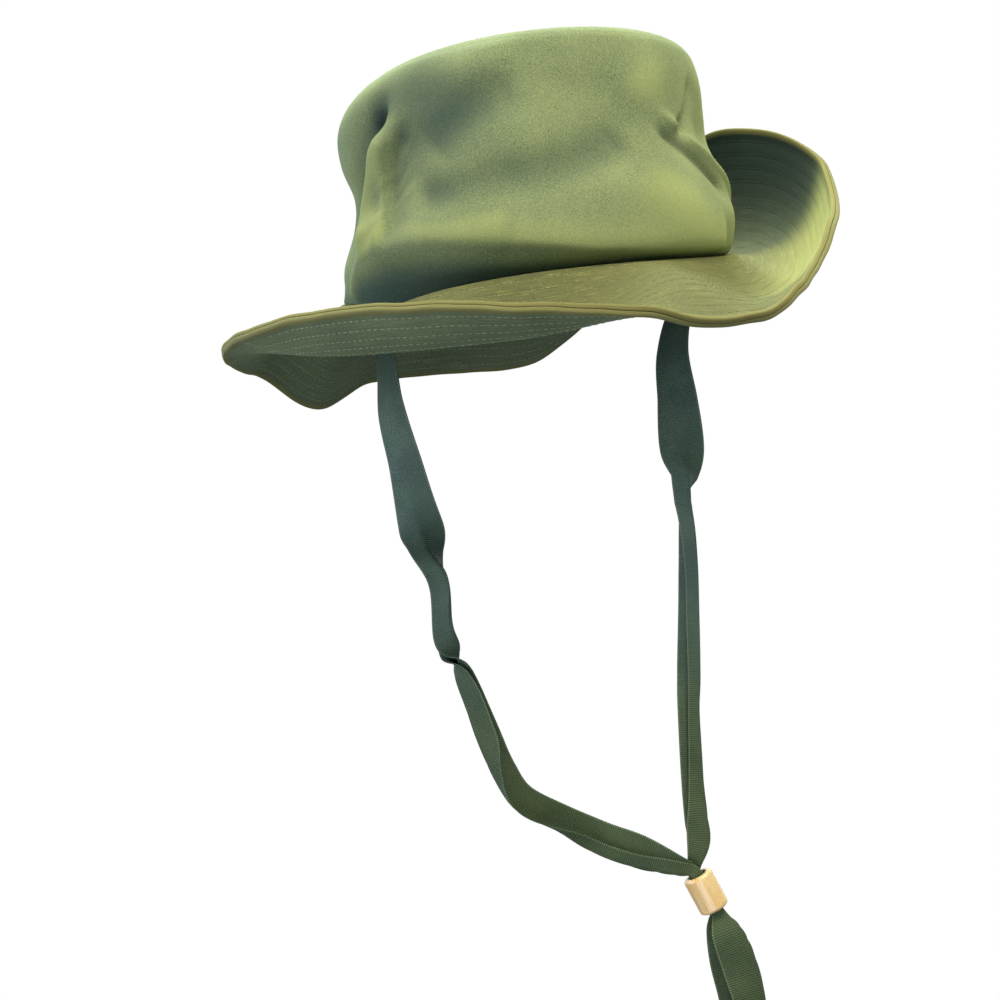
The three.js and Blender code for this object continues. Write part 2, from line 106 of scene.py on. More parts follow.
# %% The crown's rings
# centre x, centre y, height, half width, half depth, roll, pitch; millimetres and degrees
CROWN_RINGS = [
    (0.0, 0.0, 0.0, 95.0, 85.5, 7.5, 7.4),
    (0.0, -1.5, 7.0, 96.3, 87.5, 7.7, 6.5),
    (0.0, -1.5, 18.0, 96.5, 88.5, 8.0, 5.0),
    (0.0, -1.0, 33.0, 92.0, 87.5, 7.0, 4.0),
    (-2.0, -0.5, 47.0, 89.5, 85.5, 5.5, 3.0),
    (-7.0, 0.0, 60.0, 90.0, 84.0, 4.0, 2.0),
    (-9.0, 0.5, 74.0, 90.5, 82.0, 3.5, 1.0),
    (-8.5, 0.5, 86.0, 88.5, 80.0, 4.5, 0.0),
    (-7.0, 0.5, 95.5, 83.5, 77.0, 6.0, -1.0),
    (-5.5, 0.5, 100.3, 77.5, 72.5, 6.6, -1.5),
]
RING_COUNT = len(CROWN_RINGS)


def ring_at(level):
    """The seven sizes of the ring at a level from 0, the seam, to 1, the tip."""
    table = np.array(CROWN_RINGS)
    place = np.asarray(level, float) * (RING_COUNT - 1)
    return [smooth(np.arange(RING_COUNT), table[:, k], place) for k in range(7)]


def on_ring(ring, degrees, inset=0.0):
    """A point of a leaning ring, inset towards its middle."""
    cx, cy, cz, wide, deep, roll, pitch = ring
    turn = np.radians(degrees)
    x, y = wide * np.sin(turn), -deep * np.cos(turn)
    out_x, out_y = np.sin(turn) / wide, -np.cos(turn) / deep
    length = np.hypot(out_x, out_y)
    x = x - inset * out_x / length
    y = y - inset * out_y / length
    z = x * np.tan(np.radians(roll)) + y * np.tan(np.radians(pitch))
    return np.stack([cx + x, cy + y, cz + z], -1)


# %% [markdown]
# Folds in velvet
# Soft cloth does two things. It swells and sags in broad places, and it creases along lines where
# it is pinched. A swell is a row with a middle, a size and a slant. A crease is a line drawn on
# the unrolled wall, with a steep side and an easy side. Depth is inwards, and a ridge is below
# zero. Three shorter tables say where patches of painted shade darken the velvet and patches of
# painted light lighten it, how the cloth is tucked in above the seam, and where the seam itself
# sags or is lifted.

# %% The crown's folds as tables
# at, height, half width, half length, slant, depth inwards
CROWN_SWELLS = [
    (-50, 67, 6.5, 10, 35, 5.4),
    (-94, 60, 20, 22, 0, -1.6),
    (-16, 86, 18, 9, 0, -2.4),
    (38, 27, 28, 17, 20, -4.2),
    (-24, 30, 26, 12, -18, -1.6),
    (54, 63, 3.6, 3.6, 0, 2.6),
    (70, 67, 10, 13, 0, 2.6),
    (20, 62, 26, 24, -40, 2.4),
    (38, 82, 18, 12, -30, -2.2),
    (-8, 88, 24, 9, 80, -1.6),
    (120, 52, 12, 34, 20, 3.6),
    (150, 40, 9, 40, -25, 3.2),
    (172, 66, 16, 22, 40, -3.0),
    (196, 34, 10, 34, 30, 3.4),
    (222, 58, 8, 30, -18, 3.8),
    (240, 24, 14, 18, 50, -3.0),
]
# depth inwards, half width left of the line, half width right of it, sharpness, the line as
# (at, height)
CROWN_CREASES = [
    (-4.6, 7.0, 5.0, 2.0, [(-50, 55), (-54.5, 46), (-60, 37), (-63, 28), (-62, 17)]),
    (-1.8, 2.4, 3.0, 1.6, [(-44, 60), (-49, 49), (-52, 41), (-53, 34), (-52.5, 23), (-52, 13)]),
    (4.2, 12.0, 2.6, 1.7, [(-41, 56), (-45, 50), (-48.5, 41), (-50, 32), (-49.5, 22), (-48, 15)]),
    (5.6, 3.0, 10.0, 1.9, [(-51, 65), (-59, 53), (-69, 41), (-78, 28)]),
    (-1.0, 1.3, 2.0, 1.5, [(-52, 30), (-48, 34), (-43, 39)]),
    (-1.0, 1.3, 2.0, 1.5, [(-52, 22), (-48, 26), (-42, 31)]),
    (-0.8, 1.3, 2.0, 1.5, [(-51, 38), (-46, 44), (-40, 51)]),
    (-1.4, 4.0, 4.0, 1.8, [(-58, 16), (-63, 2), (-68, -8)]),
    (3.0, 11.0, 11.0, 2.2, [(-6, 71), (-17, 63), (-29, 52)]),
    (3.8, 10.0, 11.0, 2.2, [(-34, 25), (-20, 28), (-5, 33), (10, 40), (24, 48)]),
    (-4.2, 16.0, 9.0, 2.2, [(-58, 8), (-44, 9), (-30, 9), (-13, 7)]),
    (-3.4, 13.0, 5.5, 2.0, [(-5, 4), (14, 1), (34, 3), (60, 9)]),
    (2.8, 2.2, 8.0, 1.6, [(53, 64), (57, 70), (60, 76), (62, 84)]),
    (-3.0, 2.4, 3.0, 1.6, [(49, 65), (55, 60), (62, 55.5), (70, 51), (81, 46), (94, 40)]),
    (4.2, 3.0, 5.5, 1.6, [(46, 57), (54, 51.5), (61, 46.5), (69, 41)]),
    (2.2, 6.0, 6.0, 2.2, [(98, 80), (106, 60), (112, 30)]),
    (2.4, 5.0, 5.0, 1.5, [(250, 80), (256, 56), (262, 30)]),
]
# at, height, half width, half length, slant, painted shade; below zero is painted highlight
CROWN_PAINTED_LIGHT_AND_SHADE = [
    (-27, 52, 15, 46, 50, 1.6),
    (-11, 42, 10, 20, 52, 1.6),
    (38, 77, 22, 14, 0, -1.6),
    (-32, 77, 30, 22, 0, 6.2),
    (-31, 27, 13, 12, 40, 3.4),
    (-61, 14, 9, 11, 0, -5.0),
]
# place, depth, height above the seam
SEAM_TUCKS = [
    (0, 3.2, 13),
    (30, 3.0, 7),
    (50, 2.6, 5),
    (70, 1.6, 5),
    (90, 1.2, 5),
    (130, 2.0, 8),
    (180, 3.0, 10),
    (230, 2.0, 12),
    (256, -1.8, 14),
    (276, -2.2, 14),
    (288, 0.8, 13),
    (300, 2.6, 21),
    (316, 4.3, 25),
    (338, 3.4, 19),
]
# at, half width, how far the seam sags; below zero is lifted
SEAM_SAGS = [
    (-52, 17, 5.0),
    (2, 30, -2.8),
]
# The last count is of the patches of painted light and shade.
print("crown folds:", len(CROWN_SWELLS), "swells,", len(CROWN_CREASES), "creases,",
      len(CROWN_PAINTED_LIGHT_AND_SHADE), "brushed patches")

# %% [markdown]
# From the tables to a depth
# A swell is a soft hill with an oval foot. A crease is measured from the nearest point of its
# line, and it fades away from the line and past its two ends. All folds fade out at the seam and
# at the tip, where the cloth is held.

# %% Work out the folds
AROUND_MM = 90
WALL_HEIGHT = 100
CREASE_END = 7
FOLD_FADE_AT_SEAM = 0.7
FOLD_FADE_AT_TIP = 8
SAG_HEIGHT = 26


def degrees_from(at, degrees):
    """The way round from a place, from -180 to 180."""
    return np.mod(degrees - at + 180, 360) - 180


def seam_sag(degrees):
    """How far the seam lies below its ring."""
    sags = [deep * np.exp(-(degrees_from(at, degrees) / half) ** 2) for at, half, deep in SEAM_SAGS]
    return sum(sags)


def swells(table, degrees, height):
    """The sum of a table's hills at each place of the wall."""
    depth = np.zeros(height.shape)
    for at, z, wide, long, slant, push in table:
        across = np.radians(degrees_from(at, degrees)) * AROUND_MM
        along = height - z
        c, s = math.cos(math.radians(slant)), math.sin(math.radians(slant))
        a = (across * c - along * s) / wide
        b = (across * s + along * c) / long
        depth += push * np.exp(-a * a - b * b)
    return depth


def crease_depth(degrees, height):
    """Each crease fades away from its line, and towards its two ends."""
    depth = np.zeros(height.shape)
    for push, left, right, sharp, line in CROWN_CREASES:
        middle = line[len(line) // 2][0]
        x = np.radians(degrees_from(middle, degrees)) * AROUND_MM
        points = [(math.radians(at - middle) * AROUND_MM, z) for at, z in line]
        nearest = np.full(height.shape, 1e9)
        beside = np.zeros(height.shape)
        past_end = np.zeros(height.shape)
        for k, ((x0, z0), (x1, z1)) in enumerate(zip(points, points[1:])):
            length = math.hypot(x1 - x0, z1 - z0)
            dx, dz = (x1 - x0) / length, (z1 - z0) / length
            t = (x - x0) * dx + (height - z0) * dz
            side = (x - x0) * dz - (height - z0) * dx
            over = np.maximum(-t if k == 0 else 0, t - length if k == len(points) - 2 else 0)
            held = np.clip(t, 0, length)
            far = np.hypot(x - x0 - held * dx, height - z0 - held * dz)
            closer = far < nearest
            nearest = np.where(closer, far, nearest)
            beside = np.where(closer, side, beside)
            past_end = np.where(closer, np.maximum(over, 0), past_end)
        away = np.sqrt(np.maximum(nearest ** 2 - past_end ** 2, 0))
        away /= np.where(beside > 0, right, left)
        depth += push * np.exp(-np.power(away, sharp) - (past_end / CREASE_END) ** 2)
    return depth


def fold_depth(degrees, height, level):
    """How far the folds push the cloth in."""
    depth = swells(CROWN_SWELLS, degrees, height) + crease_depth(degrees, height)
    tuck_height = round_the_hat(SEAM_TUCKS, 2, degrees)
    seam_fade = level * WALL_HEIGHT / (FOLD_FADE_AT_SEAM * tuck_height)
    return depth * np.clip(np.minimum(seam_fade, FOLD_FADE_AT_TIP * (1 - level)), 0, 1)


def crown_place(degrees, level, inset):
    """Where a point of the side wall lies on the hat, in millimetres."""
    ring = ring_at(level)
    height = on_ring(ring, degrees)[..., 2]
    return on_ring(ring, degrees, inset + fold_depth(degrees, height, level))


seam_front = crown_place(np.array([0.0]), np.array([0.0]), 0.0)[0]
print("the seam's front point, in millimetres:", [round(v, 1) for v in seam_front.tolist()])

# %% [markdown]
# The brim's shape
# A brim is a flat ring of doubled cloth, 80 mm wide, that bends mostly along lines running out
# from the head. Each row gives one such line: how far out and how high its edge lies, and how
# far the cloth dips below the straight way there. The front left is a gutter whose outer part
# turns up, the right side is a bowl turned up beside the crown, and the back hangs.

# %% The brim's rows
# place, reach, height of the edge, dip, where it dips most; degrees, millimetres, part of the way
BRIM_ROWS = [
    (0, 66, -33, 16, 0.52),
    (14, 65, -34, 8, 0.5),
    (26, 64, -38, -6, 0.5),
    (40, 58, -31, 2, 0.5),
    (55, 48, -14, 14, 0.5),
    (70, 44, 4, 20, 0.5),
    (80, 48, 24, 21, 0.5),
    (90, 51, 42, 19, 0.48),
    (100, 52, 65, 17, 0.46),
    (110, 43, 82, 18, 0.44),
    (120, 32, 89, 19, 0.42),
    (130, 28, 89, 19, 0.42),
    (141, 34, 79, 19, 0.42),
    (153, 50, 46, 17, 0.45),
    (166, 63, 3, 10, 0.5),
    (180, 66, -28, -2, 0.5),
    (200, 64, -36, -8, 0.5),
    (218, 62, -43, -6, 0.5),
    (234, 57, -60, -4, 0.5),
    (250, 60, -46, -8, 0.5),
    (265, 58, -44, -2, 0.5),
    (280, 60, -41, 5, 0.5),
    (300, 64, -37, 13, 0.52),
    (320, 65, -32, 19, 0.54),
    (340, 66, -31, 20, 0.54),
]
BRIM_SEAM = (0, 0, -2.05, 96.5, 87.0, 7.5, 7.4)
BRIM_WIDTH = 80
SEAM_LEDGE = 7.5
SHEET_TURNS = 1440
SHEET_STEPS = 200


def brim_sheet():
    """A fine net of points of the brim, evenly spaced along each line outwards."""
    degrees = np.arange(SHEET_TURNS + 1) * 360 / SHEET_TURNS
    seam = on_ring(BRIM_SEAM, degrees)
    inner = on_ring(BRIM_SEAM, degrees, SEAM_LEDGE)
    turn = np.radians(degrees)
    out = np.stack([np.sin(turn) / BRIM_SEAM[3], -np.cos(turn) / BRIM_SEAM[4]], -1)
    out /= np.linalg.norm(out, axis=1)[:, None]
    reach, height, dip, lean = [round_the_hat(BRIM_ROWS, k, degrees)[:, None] for k in (1, 2, 3, 4)]
    rise = height - seam[:, 2:3]
    chord = np.hypot(reach, rise)
    u = np.linspace(0, 1, SHEET_STEPS + 1)[None, :]
    sag = dip * np.sin(np.pi * u ** (np.log(0.5) / np.log(lean)))
    across = u * reach + sag * rise / chord
    up = seam[:, 2:3] + u * rise - sag * reach / chord
    steps = np.hypot(np.diff(across), np.diff(up))
    length = np.concatenate([np.zeros((len(degrees), 1)), np.cumsum(steps, 1)], 1)
    even = np.empty((len(degrees), SHEET_STEPS + 1, 3))
    for i in range(len(degrees)):
        wanted = u[0] * length[i, -1]
        r = np.interp(wanted, length[i], across[i])
        even[i, :, 2] = np.interp(wanted, length[i], up[i])
        even[i, :, :2] = seam[i, :2] + r[:, None] * out[i]
    return even, inner, length[:, -1]


brim_net, brim_inner, brim_lengths = brim_sheet()
around = np.roll(brim_net[:-1], -1, 0) - np.roll(brim_net[:-1], 1, 0)
outward = np.gradient(brim_net[:-1], axis=1)
brim_facing = np.cross(outward, around)
brim_facing /= np.linalg.norm(brim_facing, axis=2)[..., None]
brim_facing = np.concatenate([brim_facing, brim_facing[:1]])
print("brim: cloth from", round(brim_lengths.min()), "to", round(brim_lengths.max()), "mm wide")

# %% [markdown]
# A point on the brim
# The net's points lie close together, so any point between four of them is found by a straight
# mix. The brim follows the seam's own sag, and its free edge flutters a little, because nothing
# stiff is sewn into it.

# %% Place a point of the brim
# waves round the brim, start, height in millimetres
EDGE_WAVES = [
    (23, 1, 0.3),
    (41, 2, 0.18),
]
EDGE_WAVE_CURVE = 6


def brim_place(degrees, along, lift):
    """Where a point of the brim lies: along from -1, under the crown, through 0 to 1, the edge."""
    a = np.mod(degrees, 360) * SHEET_TURNS / 360
    b = np.clip(along, 0, 1) * SHEET_STEPS
    i = np.minimum(a.astype(int), SHEET_TURNS - 1)
    j = np.minimum(b.astype(int), SHEET_STEPS - 1)
    fa, fb = (a - i)[:, None], (b - j)[:, None]

    def between(net):
        low = net[i, j] * (1 - fa) + net[i + 1, j] * fa
        high = net[i, j + 1] * (1 - fa) + net[i + 1, j + 1] * fa
        return low * (1 - fb) + high * fb

    point = between(brim_net)
    under = np.clip(-along, 0, 1)[:, None]
    point = point * (1 - under) + (brim_inner[i] * (1 - fa) + brim_inner[i + 1] * fa) * under
    facing = between(brim_facing)
    facing /= np.linalg.norm(facing, axis=1)[:, None]
    turn = np.radians(degrees)
    out = np.clip(along, 0, 1)
    flutter = sum(height * np.sin(waves * turn + start) for waves, start, height in EDGE_WAVES)
    point[:, 2] -= seam_sag(degrees) * (1 - out) ** 2
    return point + facing * (np.asarray(lift) + flutter * out ** EDGE_WAVE_CURVE)[:, None]


edge_front = brim_place(np.array([0.0]), np.array([1.0]), 0.0)[0]
print("the brim's front edge, in millimetres:", [round(v, 1) for v in edge_front.tolist()])

# %% [markdown]
# From flat cloth to the hat
# A few small helpers do the sewing. The first keeps each point's place in the flat pattern, which
# the fabric is drawn from later, and then moves the point to its place on the hat. Others lay out
# a flat cloth, close one that was rolled up, by merging the points that now lie on each other,
# give it its wall, and say which solid of the hat it stands for.

# %% Helpers for cutting and sewing
def bend(piece, place):
    """Moves every point of a flat pattern, in metres, to where place() puts it, in metres."""
    mesh = piece.data
    flat = np.empty(len(mesh.vertices) * 3)
    mesh.vertices.foreach_get("co", flat)
    kept = mesh.attributes.new("cut", "FLOAT_VECTOR", "POINT")
    kept.data.foreach_set("vector", flat)
    mesh.vertices.foreach_set("co", place(flat.reshape(-1, 3)).ravel())
    mesh.update()


def alone(piece):
    """Makes a piece the only one that the next tool works on."""
    bpy.ops.object.select_all(action="DESELECT")
    bpy.context.view_layer.objects.active = piece
    piece.select_set(True)


def flat_cloth(columns, rows):
    """A flat square grid, one unit wide, which is how a cloth part starts."""
    bpy.ops.object.select_all(action="DESELECT")
    bpy.ops.mesh.primitive_grid_add(x_subdivisions=columns, y_subdivisions=rows, size=1,
                                    location=(0, 0, 0))
    return bpy.context.object


def close_and_turn_out(piece, reach=0.00002):
    """Merges points that lie on each other and turns every face outwards."""
    alone(piece)
    bpy.ops.object.mode_set(mode="EDIT")
    bpy.ops.mesh.select_all(action="SELECT")
    bpy.ops.mesh.remove_doubles(threshold=reach)
    bpy.ops.mesh.normals_make_consistent(inside=False)
    bpy.ops.object.mode_set(mode="OBJECT")


def thicken(piece, wall):
    """Gives a cloth its wall, on the side away from its face."""
    alone(piece)
    solid = piece.modifiers.new("wall", "SOLIDIFY")
    solid.thickness = wall
    solid.offset = -1
    solid.use_even_offset = False
    bpy.ops.object.modifier_apply(modifier=solid.name)


def finish_piece(piece, name, nodes):
    """Names and smooths a piece, and says which solids it stands for and what it is made of."""
    piece.name = piece.data.name = name
    alone(piece)
    bpy.ops.object.shade_smooth_by_angle(angle=math.radians(50))
    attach(piece, "root")
    if nodes:
        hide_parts(*nodes)
    print(name, "has", len(piece.data.polygons), "faces")
    return piece


# %% [markdown]
# The side wall
# The side wall starts as a flat grid, one unit square, with more rows at its two ends, where the
# cloth rolls over the brim seam and over the tip. The square is rolled round the head, closed at
# the back, and then given its wall. Each point also keeps a number for the shade painted on it,
# which the velvet reads later: above zero is painted shade, in the folds and under the tuck, and
# below zero is a painted highlight, on the ridges.

# %% Make the side wall
CLOTH = 1.6
WALL_COLUMNS = 360
WALL_ROWS = 118
END_CROWDING = 0.62
SEAM_ROLL = 1.6
SEAM_SINK = 0.6
TUCK_CURVE = 1.6
UNDER_SHADE = 10
UNDER_BLEND = (1.2, 0.9)
UNDER_FROM = (7, 12)
TIP_ROLL = 6.5
TIP_RISE = 2.4
TIP_CURVE = 1.3
painted_shade_and_highlight = []


def roll_in(height, radius):
    """How far a rounded rim lies inside the straight wall, at a height from the rim."""
    missing = np.clip(radius - height, 0, radius)
    return radius - np.sqrt(radius ** 2 - missing ** 2)


def side_wall_place(flat):
    """Rolls the flat wall round the head, and notes each point's painted shade and highlight."""
    degrees = (flat[:, 0] + 0.5) * 360
    rows = flat[:, 1] + 0.5
    level = rows - END_CROWDING * np.sin(2 * np.pi * rows) / (2 * np.pi)
    up = level * WALL_HEIGHT
    tuck, tuck_height = [round_the_hat(SEAM_TUCKS, k, degrees) for k in (1, 2)]
    tuck = tuck * np.clip(1 - up / tuck_height, 0, 1) ** TUCK_CURVE
    inset = roll_in(up, SEAM_ROLL) + tuck + roll_in(WALL_HEIGHT - up, TIP_ROLL)
    place = crown_place(degrees, level, inset)
    place[:, 2] -= SEAM_SINK * np.clip(1 - up / SEAM_ROLL, 0, 1)
    place[:, 2] -= seam_sag(degrees) * np.clip(1 - up / SAG_HEIGHT, 0, 1) ** 2
    place[:, 2] += TIP_RISE * np.clip(1 - (WALL_HEIGHT - up) / TIP_ROLL, 0, 1) ** TIP_CURVE
    under = np.clip((UNDER_BLEND[0] - up / tuck_height) / UNDER_BLEND[1], 0, 1)
    under *= np.clip((tuck_height - UNDER_FROM[0]) / UNDER_FROM[1], 0, 1)
    # Painted shade from the folds' depth, the painted patches and the band under the tuck; below
    # zero it is painted highlight.
    shade = fold_depth(degrees, place[:, 2], level) + swells(CROWN_PAINTED_LIGHT_AND_SHADE, degrees, place[:, 2])
    painted_shade_and_highlight.append(shade + UNDER_SHADE * under)
    return place * MM


crown_side = flat_cloth(WALL_COLUMNS, WALL_ROWS)
bend(crown_side, side_wall_place)
crown_side.data.attributes.new("painted_shade_and_highlight", "FLOAT", "POINT").data.foreach_set("value", painted_shade_and_highlight[0])
close_and_turn_out(crown_side)
thicken(crown_side, CLOTH * MM)
finish_piece(crown_side, "crown_side_velvet", ["crown_side"])

# %% [markdown]
# The tip
# The tip is a round of cloth that domes a little. Its rim is turned under where it meets the side
# wall, so a fine groove runs round between the two.

# %% Make the tip
TIP_COLUMNS = 240
TIP_RINGS = 60
TIP_DOME = 3.5
TIP_LIFT = 0.6
TIP_INSET = 5.6
TIP_SLACK = 0.7
SLACK_WAVES = (19, 23)
RIM_DROP = 0.8


def tip_place(flat):
    """Turns the flat grid into a round that lies over the wall's upper rim."""
    degrees = (flat[:, 0] + 0.5) * 360
    part = flat[:, 1] + 0.5
    cx, cy, cz, wide, deep, roll, pitch = CROWN_RINGS[-1]
    wide, deep = wide - TIP_INSET, deep - TIP_INSET
    turn = np.radians(degrees)
    x, y = wide * part * np.sin(turn), -deep * part * np.cos(turn)
    z = x * math.tan(math.radians(roll)) + y * math.tan(math.radians(pitch))
    slack = TIP_SLACK * np.sin(x / SLACK_WAVES[0] + 1) * np.sin(y / SLACK_WAVES[1] + 2)
    edge = RIM_DROP * roll_in((1 - part) * wide, CLOTH)
    up = CLOTH + TIP_LIFT + TIP_DOME * (1 - part ** 2) + slack * (1 - part ** 4) - edge
    return np.stack([cx + x, cy + y, cz + z + up], 1) * MM


crown_tip = flat_cloth(TIP_COLUMNS, TIP_RINGS)
bend(crown_tip, tip_place)
close_and_turn_out(crown_tip)
thicken(crown_tip, CLOTH * MM)
finish_piece(crown_tip, "crown_tip_velvet", ["crown_tip"])

# %% [markdown]
# The brim's two layers
# A brim layer is the same all the way round before it is bent, so it is spun. A ring of points is
# set out as the cut through the cloth: flat on the side that meets the other layer, a turned edge
# that rises straight and then rounds over, and on the outer side a shallow channel for each row
# of thread.

# %% Draw the cut through one layer
SEAM_RADIUS = 100
LAYER_GAP = 0.15
LIP_RADIUS = 1.15
LIP_RISE = 0.7
LIP_TOP = 1.0
LIP_FALL = 2.6
LIP_CORNER = 0.1
FIRST_ROW_FROM_EDGE = 6
ROW_PITCH = 6.35
ROW_COUNT = 12
CHANNEL_DEPTH = 0.15
CHANNEL_HALF_WIDTH = 1.0
OUTER_STEP = 0.6
SPIN_STEPS = 360
edge_radius = SEAM_RADIUS + BRIM_WIDTH
row_radii = [edge_radius - FIRST_ROW_FROM_EDGE - ROW_PITCH * k for k in range(ROW_COUNT)]


def outer_lift(radius):
    """The height of the outer face over the middle of the brim."""
    radius = np.asarray(radius, float)
    lift = np.full(radius.shape, LAYER_GAP + CLOTH)
    from_lip = (edge_radius - LIP_TOP - radius) / LIP_FALL
    lift += LIP_RISE * np.exp(-np.maximum(from_lip, 0) ** 2)
    for row in row_radii:
        lift -= CHANNEL_DEPTH * np.exp(-((radius - row) / CHANNEL_HALF_WIDTH) ** 2)
    return lift


def rounded_corner(radius, height, size, first_degrees, steps):
    """A quarter round about the point (radius, height)."""
    turns = np.radians(first_degrees + np.linspace(0, 90, steps))
    return [(radius + size * math.cos(t), height + size * math.sin(t)) for t in turns]


def layer_outline():
    """The cut through one layer, as points (radius, height)."""
    inner_radius = SEAM_RADIUS - SEAM_LEDGE
    flat_side = [(r, LAYER_GAP) for r in np.linspace(inner_radius, edge_radius - LIP_CORNER, 24)]
    middle = (edge_radius - LIP_RADIUS, LAYER_GAP + LIP_RADIUS)
    lip = [(edge_radius, LAYER_GAP + LIP_CORNER), (edge_radius, LAYER_GAP + LIP_RADIUS / 2)]
    lip += rounded_corner(*middle, LIP_RADIUS, 0, 9)
    radii = np.arange(edge_radius - LIP_RADIUS - OUTER_STEP, inner_radius, -OUTER_STEP)
    outer = list(zip(radii, outer_lift(radii)))
    return np.array(flat_side + lip + outer + [(inner_radius, LAYER_GAP + CLOTH)])


outline = layer_outline()
print("one layer's outline has", len(outline), "points")

# %% [markdown]
# Spinning and bending
# The outline is set up on the front side, spun a full turn about the Z axis, closed, and bent. The
# lower layer is the same cloth upside down.

# %% Make both layers
def brim_pattern_place(flat):
    """Where a point of the flat ring lies on the hat, both in metres."""
    degrees = np.degrees(np.arctan2(flat[:, 0], -flat[:, 1]))
    radius = np.hypot(flat[:, 0], flat[:, 1]) / MM
    along = (radius - SEAM_RADIUS) / np.where(radius < SEAM_RADIUS, SEAM_LEDGE, BRIM_WIDTH)
    return brim_place(degrees, along, flat[:, 2] / MM) * MM


def spin_round(cut, steps):
    """Spins a ring of points (radius, height), in millimetres, a full turn about the Z axis."""
    bpy.ops.object.select_all(action="DESELECT")
    bpy.ops.mesh.primitive_circle_add(vertices=len(cut), radius=0.01, location=(0, 0, 0))
    piece = bpy.context.object
    points = np.zeros((len(cut), 3))
    points[:, [1, 2]] = np.array(cut) * [-MM, MM]
    piece.data.vertices.foreach_set("co", points.ravel())
    bpy.ops.object.mode_set(mode="EDIT")
    bpy.ops.mesh.select_all(action="SELECT")
    bpy.ops.mesh.spin(steps=steps, angle=2 * math.pi, center=(0, 0, 0), axis=(0, 0, 1))
    bpy.ops.object.mode_set(mode="OBJECT")
    close_and_turn_out(piece)
    return piece


def brim_layer(side):
    """The upper layer for 1, and the lower one, upside down, for -1."""
    layer = spin_round(outline * [1, side], SPIN_STEPS)
    bend(layer, brim_pattern_place)
    return layer


brim_top = finish_piece(brim_layer(1), "brim_top_velvet", ["brim_top"])
brim_under = finish_piece(brim_layer(-1), "brim_under_velvet", ["brim_under"])

# %% [markdown]
# The rows of thread
# One stitch is a tiny six-sided bead, drawn out along the row. It is set out round each row in the
# flat pattern, joined into one piece a layer, and bent by the brim's own rule, so every stitch
# lies in its channel.

# %% Make the stitches
STITCH_PITCH = 3.6
STITCH_HALF = (1.35, 0.24, 0.2)
STITCH_LIFT = 0.12
STITCH_WANDER = 0.03


def one_stitch():
    """A sphere, turned so that its poles point along the row, and drawn out."""
    bpy.ops.object.select_all(action="DESELECT")
    bpy.ops.mesh.primitive_uv_sphere_add(segments=6, ring_count=5, radius=1, location=(0, 0, 0))
    stitch = bpy.context.object
    bpy.ops.object.mode_set(mode="EDIT")
    bpy.ops.mesh.select_all(action="SELECT")
    bpy.ops.transform.rotate(value=math.pi / 2, orient_axis="Y", center_override=(0, 0, 0))
    bpy.ops.transform.resize(value=STITCH_HALF, center_override=(0, 0, 0))
    bpy.ops.object.mode_set(mode="OBJECT")
    return stitch


def stitch_rows(side, seed):
    """All the stitches of one layer as one piece, each a little out of line."""
    rng = np.random.default_rng(seed)
    pattern = one_stitch()
    shape = np.array([v.co[:] for v in pattern.data.vertices])
    faces = [list(p.vertices) for p in pattern.data.polygons]
    points, polygons = [], []
    for radius in row_radii:
        count = round(2 * math.pi * radius / STITCH_PITCH)
        start = rng.uniform(0, 2 * math.pi)
        for k in range(count):
            turn = start + 2 * math.pi * (k + rng.normal(0, STITCH_WANDER)) / count
            skew = rng.normal(0, STITCH_WANDER)
            x = shape[:, 0] * math.cos(skew) - shape[:, 1] * math.sin(skew)
            y = shape[:, 0] * math.sin(skew) + shape[:, 1] * math.cos(skew)
            out = radius + y
            at = turn + x / radius
            lift = outer_lift(radius) + shape[:, 2] + STITCH_LIFT * (1 - (x / STITCH_HALF[0]) ** 2)
            place = np.stack([out * np.sin(at), -out * np.cos(at), side * lift], 1) * MM
            polygons += [[i + len(points) * len(shape) for i in face] for face in faces]
            points.append(place)
    mesh = bpy.data.meshes.new("thread")
    mesh.from_pydata(np.concatenate(points).tolist(), [], polygons)
    bpy.data.objects.remove(pattern, do_unlink=True)
    thread = bpy.data.objects.new("thread", mesh)
    bpy.context.collection.objects.link(thread)
    bend(thread, brim_pattern_place)
    close_and_turn_out(thread, 0.000001)
    return thread


thread_top = finish_piece(stitch_rows(1, 3), "brim_top_thread", [])
thread_under = finish_piece(stitch_rows(-1, 4), "brim_under_thread", [])

# %% [markdown]
# The ribbon
# The chin strap is one ribbon of grosgrain, 22 mm wide, folded lengthwise. At each row of its
# table it has a place, a direction that its face looks in, and the angles of its two leaves, so it
# can lie flat, close like a book, or twist. The cloth's own width never changes, because ribbon
# doesn't stretch. The last column gathers the folded ribbon where it is pinched, most of all in
# the bead.

